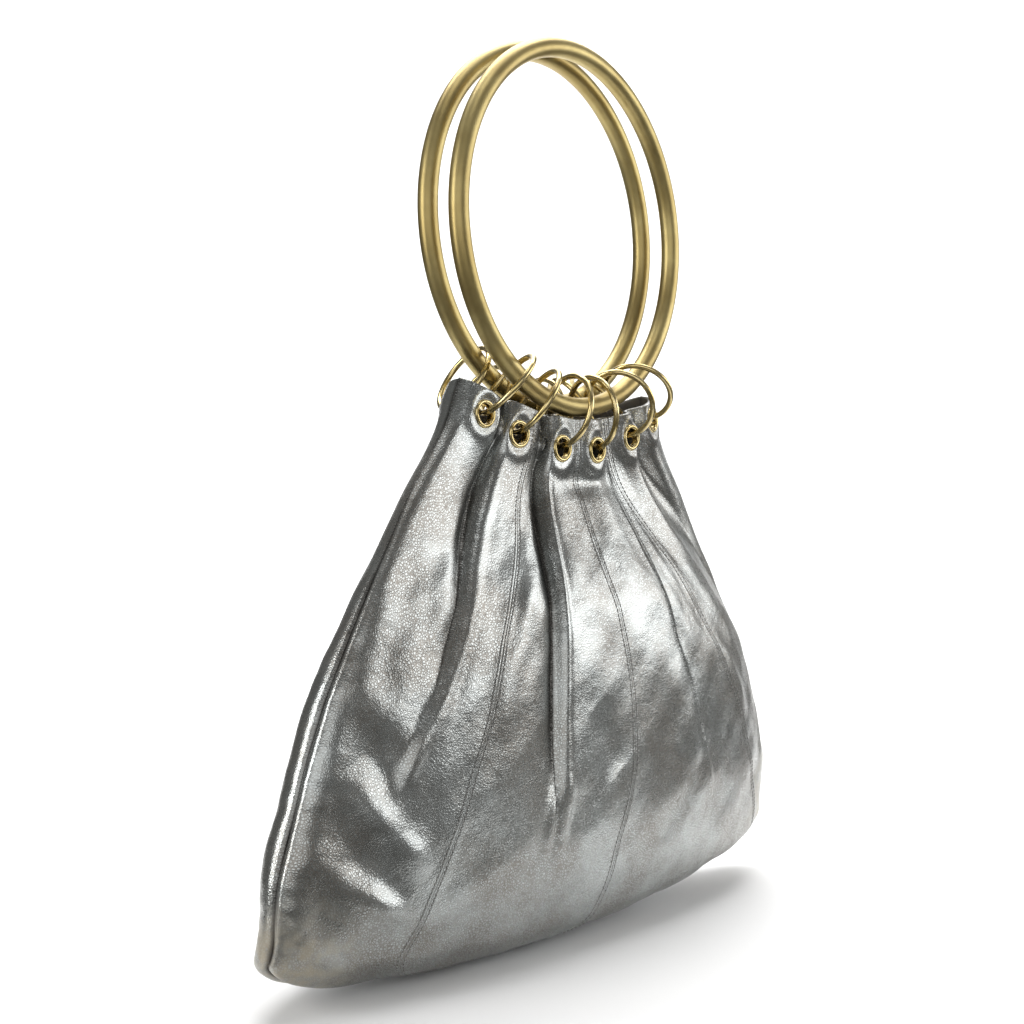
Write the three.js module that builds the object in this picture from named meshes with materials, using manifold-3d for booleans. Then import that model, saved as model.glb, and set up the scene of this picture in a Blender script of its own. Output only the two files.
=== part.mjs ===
// A soft satchel of eight leather gores, gathered on small wire rings under two round metal handles.
// Millimetres, +Z up, +X to the right and -Y to the front. The origin is the place under the top of
// the front handle where a hand or a peg carries the bag.
import * as THREE from "three";
import { mergeVertices } from "three/addons/utils/BufferGeometryUtils.js";
import Module from "manifold-3d";

// Handles: two plain rings of tube, one behind the other
const HANDLE_OUTER_DIAMETER = 153;
const HANDLE_TUBE_DIAMETER = 7.9;
const HANDLE_SPACING = 15.4;
const BACK_HANDLE_LIFT = 1.5;
const HANDLE_YAW = 3; // degrees that the handles hang turned from the leather's plane
const HANDLE_SEGMENTS = 36;
const HANDLE_SIDES = 8;

// Small rings: round wire, each one round its handle's tube and through one eyelet
const RING_OUTER_DIAMETER = 31.2;
const RING_WIRE_DIAMETER = 2.4;
const RING_FORWARD = 4.4; // the ring hangs this far in front of the handle's own plane
const RING_SEGMENTS = 12;
const RING_SIDES = 6;

// Eyelets: a barrel through the leather with a flange on each face
const EYELET_HOLE_RADIUS = 3.8;
const EYELET_BARREL_RADIUS = 4.3;
const EYELET_FLANGE_RADIUS = 5.4;
const EYELET_FLANGE_THICKNESS = 0.7;
const EYELET_SIDES = 10;

// Eyelets of one face from left to right: share across, share of the way down, room between the hole's upper
// edge and the wire in it, then in degrees the place on the handle where the ring hangs, from the lowest,
// and the ring's twist on the front and on the back
const EYELETS = [
  { share: -0.9, down: 0.05, slack: 1.9, hang: -34.4, frontTwist: 22, backTwist: 22 },
  { share: -0.715, down: 0.065, slack: 1.5, hang: -22, frontTwist: 22, backTwist: 22 },
  { share: -0.2, down: 0.072, slack: 1.5, hang: -8, frontTwist: 10, backTwist: 10 },
  { share: 0.2, down: 0.072, slack: 1.5, hang: 5, frontTwist: 10, backTwist: 10 },
  { share: 0.71, down: 0.058, slack: 1.5, hang: 20, frontTwist: -20, backTwist: 8 },
  { share: 0.885, down: 0.04, slack: 1.5, hang: 31, frontTwist: -17, backTwist: 15 },
];

// Leather
const WALL = 1.8;
const GAP = 0.3; // kept between neighbouring pieces
const BODY_OFFSET_X = -1; // the hem hangs a little to the left of the handles
const BODY_LEAN = -5; // and the underside this much further
const TOP_EDGE_Z = -146; // at the middle of the hem
const HEM_RISE = 15; // the hem's ends stand this much higher than its middle
const BOTTOM_Z = -351.5; // at the middle of the underside
const BOTTOM_RISE = 8; // the underside's rise at BOTTOM_REACH from the middle
const BOTTOM_REACH = 130;
const BOTTOM_TILT = 6; // the right end hangs higher by this much at BOTTOM_REACH
const SIDE_FULLNESS = 2.3; // exponents of the level section, 2 and 0.5 for an ellipse
const SIDE_ROUNDING = 0.55;
const SIDE_SEAM_STAGGER = 2; // the left side seam's top lies this far forward, the right one's back
const SIDE_SEAM_PULL = 9; // the same along the body, below the gathers
const SIDE_PULL_POWER = 12; // of the share across, so that only the leather near the seam is pulled
const SIDE_PULL_FADES = { from: 0.84, to: 1 }; // towards the underside, as shares of the way down
const BACK_GATHER_SHIFT = 5.8; // the back's folds are gathered this much aside of the front's
const BACK_HANG_SHIFT = 4.8; // and its rings hang this many degrees aside

// Sections down the body: share of the way down the leather, share of the drop, half width, half depth
const SECTIONS = [
  { down: 0, drop: 0, halfWidth: 64, depth: 9 },
  { down: 0.08, drop: 0.07, halfWidth: 71, depth: 11 },
  { down: 0.22, drop: 0.22, halfWidth: 96, depth: 23 },
  { down: 0.36, drop: 0.38, halfWidth: 117, depth: 31 },
  { down: 0.5, drop: 0.54, halfWidth: 134, depth: 36 },
  { down: 0.64, drop: 0.7, halfWidth: 146, depth: 38 },
  { down: 0.78, drop: 0.84, halfWidth: 153.5, depth: 37 },
  { down: 0.89, drop: 0.935, halfWidth: 155.5, depth: 32 },
  { down: 0.96, drop: 0.983, halfWidth: 142, depth: 20 },
  { down: 1, drop: 1, halfWidth: 116, depth: 0 },
];

// The gathered hem of one face from left to right: share of the half width lower down,
// place along the hem and depth towards the front
const HEM = [
  { share: -1, x: -61, y: -2 },
  { share: -0.96, x: -57, y: -6 },
  { share: -0.9, x: -49, y: -7.6 },
  { share: -0.79, x: -39, y: -6 },
  { share: -0.71, x: -33, y: -11.4 },
  { share: -0.64, x: -26, y: -10.5 },
  { share: -0.4, x: -19.5, y: -6.3 },
  { share: -0.2, x: -10.6, y: -12.6 },
  { share: 0, x: -0.5, y: -10.5 },
  { share: 0.2, x: 9.5, y: -12.8 },
  { share: 0.4, x: 19, y: -6.5 },
  { share: 0.64, x: 26, y: -9.5 },
  { share: 0.71, x: 32.5, y: -11.8 },
  { share: 0.79, x: 39.5, y: -7 },
  { share: 0.87, x: 47.8, y: -10.2 },
  { share: 0.95, x: 58, y: -4.5 },
  { share: 1, x: 61, y: 2 },
];

// Seams between the four gores of a face, as shares across at each share of the way down
const SEAMS = [
  { down: 0, left: -0.635, middle: 0, right: 0.46 },
  { down: 0.14, left: -0.625, middle: 0.005, right: 0.475 },
  { down: 0.25, left: -0.553, middle: 0.01, right: 0.558 },
  { down: 0.37, left: -0.537, middle: 0.036, right: 0.578 },
  { down: 0.48, left: -0.53, middle: 0.053, right: 0.604 },
  { down: 0.6, left: -0.573, middle: 0.042, right: 0.675 },
  { down: 0.74, left: -0.627, middle: -0.02, right: 0.72 },
  { down: 0.87, left: -0.685, middle: -0.07, right: 0.77 },
  { down: 1, left: -0.73, middle: -0.12, right: 0.8 },
];

// Folds that run down the face from the hem: where, how wide, how deep and how far down
const FOLDS = [
  { share: -0.72, width: 0.05, depth: 8, reach: 0.62 },
  { share: -0.285, width: 0.06, depth: 14, reach: 0.8 },
  { share: 0.37, width: 0.05, depth: 6, reach: 0.72 },
  { share: 0.82, width: 0.05, depth: 6, reach: 0.5 },
];

// Where the gathering gives way to the full body, as shares of the way down
const SPREAD = { from: 0.04, to: 0.5 };
const SWELL = { from: 0.03, to: 0.36 };
const FOLD_OPENS = { from: 0.08, to: 0.34 };
const FOLD_FADES_FROM = 0.55; // of its reach

// Grid of the leather
const ROWS = [0, 0.04, 0.075, 0.115, 0.17, 0.24, 0.32, 0.41, 0.5, 0.59, 0.68, 0.77, 0.85, 0.915, 0.965, 1];
const COLUMNS_PER_SPAN = 2;
const SEAM_HALF_SHARE = 0.0022; // trimmed from a gore's edge at each seam
const SEAM_CLEAR = 0.01; // no column of the grid is nearer to an edge than this share
const SLOPE_STEP = 1e-3; // step of the difference that gives the leather's direction
const WELD = 1e-4; // corners nearer than this are one

const AXIS_Y = new THREE.Vector3(0, 1, 0);
const AXIS_Z = new THREE.Vector3(0, 0, 1);
const wasm = await Module();
wasm.setup();

const FINISH = {
  leather: { color: 0x8f9192, roughness: 0.42, metalness: 0.75 },
  handle: { color: 0xa88a45, roughness: 0.35, metalness: 1.0 },
  ring: { color: 0xd2b878, roughness: 0.2, metalness: 1.0 },
};

function addMesh(group, name, geometry, finish) {
  const mesh = new THREE.Mesh(geometry, new THREE.MeshStandardMaterial(FINISH[finish]));
  mesh.name = name;
  group.add(mesh);
  return mesh;
}

// Smooth step from 0 at one end to 1 at the other
function ease(from, to, value) {
  const k = THREE.MathUtils.clamp((value - from) / (to - from), 0, 1);
  return k * k * (3 - 2 * k);
}

// Cubic through the rows of a table that never overshoots them
function curveThrough(rows, key, value) {
  const xs = rows.map((row) => row[key]);
  const ys = rows.map((row) => row[value]);
  const rise = xs.slice(1).map((x, i) => (ys[i + 1] - ys[i]) / (x - xs[i]));
  const slope = xs.map((_, i) => {
    if (i === 0) return rise[0];
    if (i === xs.length - 1) return rise[i - 1];
    const product = rise[i - 1] * rise[i];
    return product > 0 ? (2 * product) / (rise[i - 1] + rise[i]) : 0;
  });
  return (x) => {
    let i = xs.findIndex((edge, k) => k > 0 && x <= edge) - 1;
    if (i < 0) i = xs.length - 2;
    const h = xs[i + 1] - xs[i];
    const s = (x - xs[i]) / h;
    const s2 = s * s;
    const s3 = s2 * s;
    return (
      ys[i] * (2 * s3 - 3 * s2 + 1) +
      slope[i] * h * (s3 - 2 * s2 + s) +
      ys[i + 1] * (3 * s2 - 2 * s3) +
      slope[i + 1] * h * (s3 - s2)
    );
  };
}

const dropAt = curveThrough(SECTIONS, "down", "drop");
const halfWidthAt = curveThrough(SECTIONS, "down", "halfWidth");
const depthAt = curveThrough(SECTIONS, "down", "depth");
const hemX = curveThrough(HEM, "share", "x");
const hemY = curveThrough(HEM, "share", "y");
const HEM_HALF = SECTIONS[0].halfWidth;

// The four gores of a face, each between two edges that are functions of the way down
const seamLines = ["left", "middle", "right"].map((side) => curveThrough(SEAMS, "down", side));
const GORES = [...seamLines, () => 1].map((line, i) => ({
  left: i > 0 ? (down) => seamLines[i - 1](down) + SEAM_HALF_SHARE : () => -1,
  right: i < seamLines.length ? (down) => line(down) - SEAM_HALF_SHARE : line,
}));

const handleRadius = (HANDLE_OUTER_DIAMETER - HANDLE_TUBE_DIAMETER) / 2;
const handleInside = handleRadius - HANDLE_TUBE_DIAMETER / 2;
const ringRadius = (RING_OUTER_DIAMETER - RING_WIRE_DIAMETER) / 2;
const handleYaw = THREE.MathUtils.degToRad(HANDLE_YAW);

// The two faces: turn is 1 for the front and -1 for the back, which is the front turned half round
const FACES = [
  { name: "front", turn: 1, handleZ: -handleInside, gather: 0, hangShift: 0, twist: "frontTwist" },
  {
    name: "back",
    turn: -1,
    handleZ: -handleInside + BACK_HANDLE_LIFT,
    gather: BACK_GATHER_SHIFT,
    hangShift: BACK_HANG_SHIFT,
    twist: "backTwist",
  },
];

// How far towards the back the leather is pulled near its side seams: on the left it is towards the front
function sidePull(share, down) {
  const reach = ease(SWELL.from, SWELL.to, down) * (1 - ease(SIDE_PULL_FADES.from, SIDE_PULL_FADES.to, down));
  return SIDE_SEAM_PULL * share * Math.abs(share) ** SIDE_PULL_POWER * reach;
}

// A point of the leather's outer face, share across (-1 to 1) and down (0 hem, 1 underside)
function leather(face, share, down) {
  const spread = ease(SPREAD.from, SPREAD.to, down);
  const swell = ease(SWELL.from, SWELL.to, down);
  const gathered = hemX(share) + face.gather * (1 - share ** 4);
  const x = halfWidthAt(down) * ((gathered / HEM_HALF) * (1 - spread) + share * spread);
  const roundness = Math.max(0, 1 - Math.abs(share) ** SIDE_FULLNESS) ** SIDE_ROUNDING;
  let y = hemY(share) * (1 - swell) - depthAt(down) * roundness * swell + sidePull(share, down);
  for (const fold of FOLDS) {
    const fade = 1 - ease(FOLD_FADES_FROM * fold.reach, fold.reach, down);
    const bell = Math.exp(-(((share - fold.share) / fold.width) ** 2));
    y += fold.depth * bell * fade * ease(FOLD_OPENS.from, FOLD_OPENS.to, down);
  }
  const drop = dropAt(down);
  const worldX = face.turn * x + BODY_OFFSET_X + BODY_LEAN * drop;
  const top = TOP_EDGE_Z + HEM_RISE * (hemX(share) / HEM_HALF) ** 2;
  const bottom = BOTTOM_Z + BOTTOM_RISE * (x / BOTTOM_REACH) ** 2 + (BOTTOM_TILT * worldX) / BOTTOM_REACH;
  return new THREE.Vector3(worldX, face.turn * y, top + (bottom - top) * drop);
}

// Outward direction of the leather at a point, from differences along the two parameters
function outward(face, share, down) {
  const s0 = Math.max(-1, share - SLOPE_STEP);
  const s1 = Math.min(1, share + SLOPE_STEP);
  const d0 = Math.max(0, down - SLOPE_STEP);
  const d1 = Math.min(1, down + SLOPE_STEP);
  const across = leather(face, s1, down).sub(leather(face, s0, down));
  const along = leather(face, share, d1).sub(leather(face, share, d0));
  return along.cross(across).normalize();
}

// The surface where the front and back leather meet at the sides: no wall passes it
function meetingY(face, share, down) {
  const stagger = SIDE_SEAM_STAGGER * share * (1 - ease(SWELL.from, SWELL.to, down));
  return face.turn * (stagger + sidePull(share, down));
}

// Keeps a point of one face's wall on its own side of the meeting surface
function keptClear(face, point, share, down) {
  const limit = face.turn * meetingY(face, share, down) - GAP / 2;
  point.y = face.turn * Math.min(face.turn * point.y, limit);
  return point;
}

// Parts of the way across one gore at the hem: its edges and the table's places between, each span divided
function goreParts(from, to) {
  const inside = (share) => share > from + SEAM_CLEAR && share < to - SEAM_CLEAR;
  const between = HEM.map((row) => row.share).filter(inside);
  const stops = [from, ...between, to].map((share) => (share - from) / (to - from));
  const parts = stops.slice(1).flatMap((stop, i) => {
    const steps = Array.from({ length: COLUMNS_PER_SPAN }, (_, k) => k / COLUMNS_PER_SPAN);
    return steps.map((step) => THREE.MathUtils.lerp(stops[i], stop, step));
  });
  return [...parts, 1];
}

// One gore: a wall of leather between two edges, as a grid of outer and inner points
function goreGeometry(face, left, right) {
  const parts = goreParts(left(0), right(0));
  const outer = [];
  const inner = [];
  for (const down of ROWS) {
    for (const part of parts) {
      const share = THREE.MathUtils.lerp(left(down), right(down), part);
      const point = leather(face, share, down);
      const inside = point.clone().addScaledVector(outward(face, share, down), -WALL);
      outer.push(keptClear(face, point, share, down));
      inner.push(keptClear(face, inside, share, down));
    }
  }
  const wide = parts.length;
  const high = ROWS.length;
  const count = outer.length;
  const index = [];
  const quad = (a, b, c, d) => index.push(a, b, c, a, c, d);
  for (let r = 0; r < high - 1; r++) {
    for (let c = 0; c < wide - 1; c++) {
      const k = r * wide + c;
      quad(k, k + wide, k + wide + 1, k + 1);
      quad(count + k, count + k + 1, count + k + wide + 1, count + k + wide);
    }
  }
  for (let c = 0; c < wide - 1; c++) {
    const k = (high - 1) * wide + c;
    quad(c, c + 1, count + c + 1, count + c);
    quad(k + 1, k, count + k, count + k + 1);
  }
  for (let r = 0; r < high - 1; r++) {
    const k = r * wide;
    const e = k + wide - 1;
    quad(k + wide, k, count + k, count + k + wide);
    quad(e, e + wide, count + e + wide, count + e);
  }
  const geometry = new THREE.BufferGeometry();
  const flat = [...outer, ...inner].flatMap((point) => point.toArray());
  geometry.setAttribute("position", new THREE.Float32BufferAttribute(flat, 3));
  geometry.setIndex(index);
  return geometry;
}

function toSolid(geometry) {
  const bare = geometry.clone();
  bare.deleteAttribute("normal");
  bare.deleteAttribute("uv");
  const merged = mergeVertices(bare, WELD);
  const vertProperties = new Float32Array(merged.attributes.position.array);
  const triVerts = new Uint32Array(merged.index.array);
  return new wasm.Manifold(new wasm.Mesh({ numProp: 3, vertProperties, triVerts }));
}

function toGeometry(solid) {
  const mesh = solid.getMesh();
  const geometry = new THREE.BufferGeometry();
  geometry.setAttribute("position", new THREE.Float32BufferAttribute(mesh.vertProperties, 3));
  geometry.setIndex(new THREE.Uint32BufferAttribute(mesh.triVerts, 1));
  return geometry;
}

// A turned solid round the Z axis from a closed profile of [radius, height] points
function turned(profile, sides) {
  const closed = [...profile, profile[0]].map(([radius, height]) => new THREE.Vector2(radius, height));
  return new THREE.LatheGeometry(closed, sides).rotateX(Math.PI / 2);
}

// The eyelet's own axis is Z, with the leather's outer face at height 0
const flangeTop = GAP + EYELET_FLANGE_THICKNESS;
const flangeBottom = -WALL - GAP - EYELET_FLANGE_THICKNESS;

function eyeletGeometry() {
  return turned(
    [
      [EYELET_HOLE_RADIUS, flangeBottom],
      [EYELET_FLANGE_RADIUS, flangeBottom],
      [EYELET_FLANGE_RADIUS, -WALL - GAP],
      [EYELET_BARREL_RADIUS, -WALL - GAP],
      [EYELET_BARREL_RADIUS, GAP],
      [EYELET_FLANGE_RADIUS, GAP],
      [EYELET_FLANGE_RADIUS, flangeTop],
      [EYELET_HOLE_RADIUS, flangeTop],
    ],
    EYELET_SIDES,
  );
}

// What the eyelet takes out of the leather: its hole, and the bends that its flanges press flat
function eyeletRoom() {
  const hole = EYELET_BARREL_RADIUS + GAP;
  const seat = EYELET_FLANGE_RADIUS + GAP;
  const reach = flangeTop + GAP;
  return turned(
    [
      [0, -WALL - reach],
      [seat, -WALL - reach],
      [seat, -WALL],
      [hole, -WALL],
      [hole, 0],
      [seat, 0],
      [seat, reach],
      [0, reach],
    ],
    EYELET_SIDES,
  );
}

// Where an eyelet sits in the leather: its middle on the outer face, and the turn of its axis
function eyeletPlace(face, { share, down }) {
  const point = leather(face, share, down);
  const normal = outward(face, share, down);
  const turn = new THREE.Quaternion().setFromUnitVectors(AXIS_Z, normal);
  return { point, normal, turn };
}

function handleGeometry() {
  return new THREE.TorusGeometry(handleRadius, HANDLE_TUBE_DIAMETER / 2, HANDLE_SIDES, HANDLE_SEGMENTS);
}

function ringGeometry() {
  return new THREE.TorusGeometry(ringRadius, RING_WIRE_DIAMETER / 2, RING_SIDES, RING_SEGMENTS);
}

// Where a ring hangs in front of the handle's tube, by the angle from the handle's lowest place
function hangPlace(face, hang) {
  const angle = face.turn * THREE.MathUtils.degToRad(hang + face.hangShift);
  const y = -face.turn * (HANDLE_SPACING / 2 + RING_FORWARD);
  const z = face.handleZ - handleRadius * Math.cos(angle);
  return new THREE.Vector3(handleRadius * Math.sin(angle), y, z).applyAxisAngle(AXIS_Z, handleYaw);
}

// A small ring lies in the plane of Y and of the line from its place on the handle to its eyelet, turned by
// its twist, with its wire against the upper edge of the eyelet's hole
function placeRing(ring, face, { point, normal }, row) {
  const hole = point.clone().addScaledVector(normal, -WALL / 2);
  const seat = EYELET_HOLE_RADIUS - RING_WIRE_DIAMETER / 2 - row.slack;
  const pull = hole.clone().sub(hangPlace(face, row.hang)).normalize();
  const across = AXIS_Y.clone().addScaledVector(pull, -pull.y).normalize();
  across.applyAxisAngle(pull, THREE.MathUtils.degToRad(row[face.twist]));
  const axis = new THREE.Vector3().crossVectors(pull, across);
  ring.quaternion.setFromRotationMatrix(new THREE.Matrix4().makeBasis(pull, across, axis));
  ring.position.copy(hole).addScaledVector(pull, -seat - ringRadius);
}

function buildFace(face) {
  const group = new THREE.Group();
  const places = EYELETS.map((row) => eyeletPlace(face, row));

  const rooms = places.map(({ point, turn }) => {
    const matrix = new THREE.Matrix4().compose(point, turn, new THREE.Vector3(1, 1, 1));
    return toSolid(eyeletRoom().applyMatrix4(matrix));
  });
  GORES.forEach(({ left, right }, i) => {
    let gore = toSolid(goreGeometry(face, left, right));
    for (const room of rooms) gore = gore.subtract(room);
    addMesh(group, `${face.name}_gore_${i + 1}`, toGeometry(gore), "leather");
  });

  places.forEach((place, i) => {
    const eyelet = addMesh(group, `${face.name}_eyelet_${i + 1}`, eyeletGeometry(), "ring");
    eyelet.position.copy(place.point);
    eyelet.quaternion.copy(place.turn);
    const ring = addMesh(group, `${face.name}_ring_${i + 1}`, ringGeometry(), "ring");
    placeRing(ring, face, place, EYELETS[i]);
  });

  const handle = addMesh(group, `${face.name}_handle`, handleGeometry(), "handle");
  handle.rotation.set(Math.PI / 2, 0, handleYaw, "ZYX");
  handle.position.set(0, (-face.turn * HANDLE_SPACING) / 2, face.handleZ).applyAxisAngle(AXIS_Z, handleYaw);
  return group;
}

const satchel = new THREE.Group();
for (const face of FACES) satchel.add(buildFace(face));

export default satchel;
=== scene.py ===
import math
from collections import namedtuple

import bpy
import numpy as np
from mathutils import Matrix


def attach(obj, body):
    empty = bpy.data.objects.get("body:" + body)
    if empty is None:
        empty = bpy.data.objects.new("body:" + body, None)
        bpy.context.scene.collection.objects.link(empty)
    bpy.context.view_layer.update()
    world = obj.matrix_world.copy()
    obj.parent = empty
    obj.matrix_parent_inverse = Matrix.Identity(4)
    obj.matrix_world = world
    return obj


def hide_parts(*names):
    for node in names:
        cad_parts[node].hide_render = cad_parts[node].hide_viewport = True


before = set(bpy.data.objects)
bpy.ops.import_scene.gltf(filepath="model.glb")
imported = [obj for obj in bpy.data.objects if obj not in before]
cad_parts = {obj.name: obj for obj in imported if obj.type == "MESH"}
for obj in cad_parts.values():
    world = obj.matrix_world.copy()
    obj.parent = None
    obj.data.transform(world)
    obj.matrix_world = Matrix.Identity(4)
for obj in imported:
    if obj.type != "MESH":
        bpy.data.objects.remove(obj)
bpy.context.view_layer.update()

MM = 0.001

# Handles, small rings and eyelets
HANDLE_RADIUS = 72.55
HANDLE_TUBE = 3.95
HANDLE_SPACING = 15.4
HANDLE_YAW = math.radians(3)
RING_RADIUS = 14.4
RING_WIRE = 1.2
RING_FORWARD = 4.4
EYELET_HOLE = 3.8
EYELET_BARREL = 4.3
EYELET_FLANGE = 5.6
EYELET_ROLL = 0.85
LEATHER_HOLE = 4.7

# Points round a handle or ring and round its tube, and round an eyelet and over its two rolled rims
HANDLE_GRID = (288, 36)
RING_GRID = (72, 16)
EYELET_AROUND = 48
EYELET_FRONT_POINTS = 11
EYELET_REAR_POINTS = 9

# Stitches beside the seams: two rows, STITCH_ROW to each side, each stitch a spindle of rings given as
# place along and thickness in shares
STITCH_PITCH = 2.0
STITCH_LENGTH = 1.5
STITCH_THREAD = 0.22
STITCH_ROW = 1.3
STITCH_RAISED = 0.1
STITCH_ENDS = (0.005, 0.99)
STITCH_SAMPLES = 1500
STITCH_AHEAD = 0.003
STITCH_SIDES = 6
STITCH_RINGS = np.array([(-0.36, 0.8), (0, 1), (0.36, 0.8)])

# Leather
WALL = 1.8
GAP = 0.16
BODY_OFFSET_X = -1
BODY_LEAN = -5
TOP_EDGE_Z = -146
HEM_RISE = 15
BOTTOM_Z = -351.5
BOTTOM_RISE = 8
BOTTOM_REACH = 130
BOTTOM_TILT = 6
SIDE_FULLNESS = 2.3
SIDE_ROUNDING = 0.55
SIDE_SEAM_STAGGER = 2
SIDE_SEAM_PULL = 9
SIDE_PULL_POWER = 12
SIDE_PULL_FADES = (0.84, 1)
HEM_HALF = 64
RIGHT_CORNER_WIDER = 16
RIGHT_CORNER_FROM = 0.86
RIGHT_CORNER_POWER = 2.5
SPREAD = (0.04, 0.5)
SWELL = (0.03, 0.36)
SLOPE_STEP = 1e-3
FLAT_HALF_WIDTH = 150
FLAT_LENGTH = 215

# Fine shape of the leather, as a height or depth and a half width across a line
Ridge = namedtuple("Ridge", "high wide")
SEAM_SWELL = Ridge(0.15, 3.0)
SEAM_LINE = Ridge(-0.1, 0.3)
STITCH_GROOVE = Ridge(-0.09, 0.3)
CREASE_LINE = Ridge(-0.4, 0.6)
SIDE_PAD = Ridge(0.8, 6)
SIDE_PAD_INSET = 9
SIDE_PAD_OPENS = (0.25, 0.5)
SIDE_PAD_CLOSES = (0.93, 1)
SIDE_PUCKER = 0.1
SIDE_VALLEY = Ridge(-0.5, 2.4)
SIDE_VALLEY_DEEPER = 1.1
HEM_DOUBLED = 0.25
HEM_DOUBLED_EDGE = (15, 32)
TURN_RIDGE = Ridge(0.4, 0.04)
TURN_DIP = Ridge(-0.35, 0.05)
TURN_DIP_BELOW = 0.09
UNEVEN = 0.45
UNEVEN_FINE = 0.16
UNEVEN_OPENS = (0.1, 0.3)

# Strength of the painted shade in the bottoms of seams, stitch rows, the crease and the side seams, from 0
# to 1, and the half width of the side seams' painted shade
SEAM_SHADE = 0.5
STITCH_SHADE = 0.9
CREASE_SHADE = 0.75
SIDE_SHADE = 0.8
SIDE_SHADE_WIDE = 2.2

# Seats of the eyelets
SEAT_EASE = 3.5
SEAT_REACH = (8, 14)
SEAT_SWELL = Ridge(0.7, 2.2)
SEAT_SWELL_RADIUS = 8.5

# Sections down the body: way down, share of the drop, half width, half depth
SECTIONS = np.array([
    (0, 0, 64, 9),
    (0.08, 0.07, 71, 11),
    (0.22, 0.22, 96, 23),
    (0.36, 0.38, 117, 31),
    (0.5, 0.54, 134, 36),
    (0.64, 0.7, 146, 38),
    (0.78, 0.84, 153.5, 37),
    (0.89, 0.935, 154.5, 32),
    (0.96, 0.983, 136, 20),
    (1, 1, 100, 0),
])

# The gathered hem from left to right: share across, place along the hem, depth towards the front
HEM = np.array([
    (-1, -61, -2),
    (-0.96, -57, -6),
    (-0.9, -49, -7.6),
    (-0.83, -42.6, -6.8),
    (-0.785, -39.4, -4.6),
    (-0.772, -38.8, -9.0),
    (-0.71, -33, -11.4),
    (-0.64, -26, -10.8),
    (-0.5, -21, -8.6),
    (-0.375, -17, -4.8),
    (-0.358, -16.2, -10.4),
    (-0.2, -10.6, -12.6),
    (0, -0.5, -10.8),
    (0.2, 9.5, -12.8),
    (0.4, 19, -8.2),
    (0.64, 26, -9.5),
    (0.71, 32.5, -11.8),
    (0.79, 39.5, -6),
    (0.87, 47.8, -10.2),
    (0.95, 58, -4.5),
    (1, 61, 2),
])

# Eyelets from left to right: share across, way down, room over the wire in the hole, then in degrees
# the place on the handle where the ring hangs and the ring's twist on the front and on the back
EYELETS = np.array([
    (-0.9, 0.05, 1.9, -34.4, 22, 22),
    (-0.715, 0.065, 1.5, -22, 22, 22),
    (-0.2, 0.072, 1.5, -8, 10, 10),
    (0.2, 0.072, 1.5, 5, 10, 10),
    (0.71, 0.058, 1.5, 20, -20, 8),
    (0.885, 0.04, 1.5, 31, -17, 15),
])

# Seams between the four gores of a face: way down, then the share across of each seam
SEAMS = np.array([
    (0, -0.635, 0, 0.46),
    (0.14, -0.625, 0.005, 0.475),
    (0.25, -0.553, 0.01, 0.558),
    (0.37, -0.537, 0.036, 0.578),
    (0.48, -0.53, 0.053, 0.604),
    (0.6, -0.573, 0.042, 0.675),
    (0.74, -0.627, -0.02, 0.72),
    (0.87, -0.685, -0.07, 0.77),
    (1, -0.73, -0.12, 0.8),
])

# Folds down from the hem. Each has a line as way down and share across, the widths of its long left
# slope and of its steep right wall as shares, its depth, and the ways down where it opens and closes.
Fold = namedtuple("Fold", "line left right depth opens closes")
FOLDS = (
    Fold(
        np.array([(0, -0.778), (0.09, -0.778), (0.22, -0.75), (0.37, -0.702), (0.48, -0.714), (0.64, -0.8)]),
        0.075, 0.014, 3.6, (0.06, 0.2), (0.36, 0.62),
    ),
    Fold(
        np.array([(0, -0.366), (0.09, -0.366), (0.17, -0.295), (0.27, -0.282), (0.6, -0.275), (0.85, -0.3)]),
        0.09, 0.014, 5, (0.06, 0.22), (0.48, 0.8),
    ),
    Fold(
        np.array([(0, 0.4), (0.09, 0.38), (0.16, 0.345), (0.41, 0.342), (0.52, 0.377), (0.75, 0.42)]),
        0.03, 0.008, 0.5, (0.06, 0.2), (0.5, 0.72),
    ),
    Fold(
        np.array([(0, 0.79), (0.06, 0.79), (0.16, 0.885), (0.23, 0.915), (0.6, 0.95)]),
        0.05, 0.02, 1.6, (0.05, 0.16), (0.25, 0.55),
    ),
)

CREASE = FOLDS[2]
FOLD_SLOPE = 1.2
FOLD_SLOPE_POWER = 1.3
# Fold depth in millimetres at which a fold's painted shade reaches full strength; shallower folds get less
FOLD_DARK_FROM_DEPTH = 4
HEM_PLEAT_REACH = 0.13

# The rolled lip past a fold's wall and the dip behind it: share of the fold's depth, place in walls
FOLD_LIP = (0.12, 2.6)
FOLD_LIP_DIP = (0.05, 4.6)

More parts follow.
